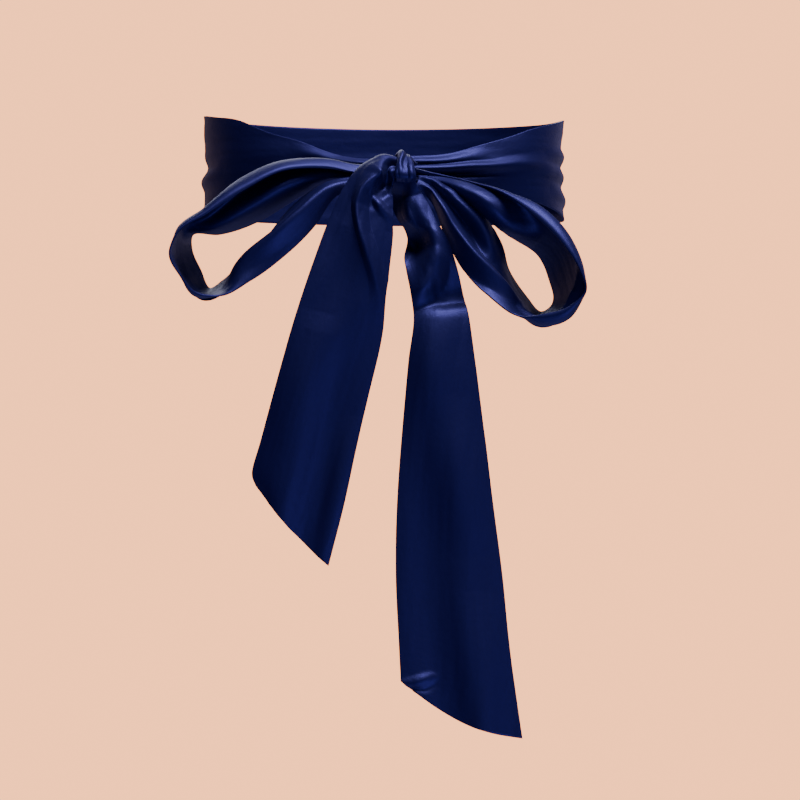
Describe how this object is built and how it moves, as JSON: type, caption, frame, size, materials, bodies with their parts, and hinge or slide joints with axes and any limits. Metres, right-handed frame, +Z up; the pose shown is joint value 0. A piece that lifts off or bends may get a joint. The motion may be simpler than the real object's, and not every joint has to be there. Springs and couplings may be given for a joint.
{
  "type": "waist sash",
  "caption": "Satin waist sash worn once round the waist and tied at the front in a bow with two drooping loops and two slant-cut tails.",
  "frame": {"origin": "middle of the hollow waist ring, half way up the band at the wearer's sides", "axes": "+Z up along the wearer's body, -Y towards the front where the bow is, +X towards the right of the front view"},
  "size_m": [0.2887, 0.2718, 0.4476],
  "materials": {
    "navy_satin": "smooth satin with a soft broad sheen"
  },
  "bodies": {
    "root": {"waist_band": "navy_satin", "knot": "navy_satin", "loop_left": "navy_satin", "loop_right": "navy_satin", "tail_left": "navy_satin", "tail_right": "navy_satin"}
  },
  "joints": []
}
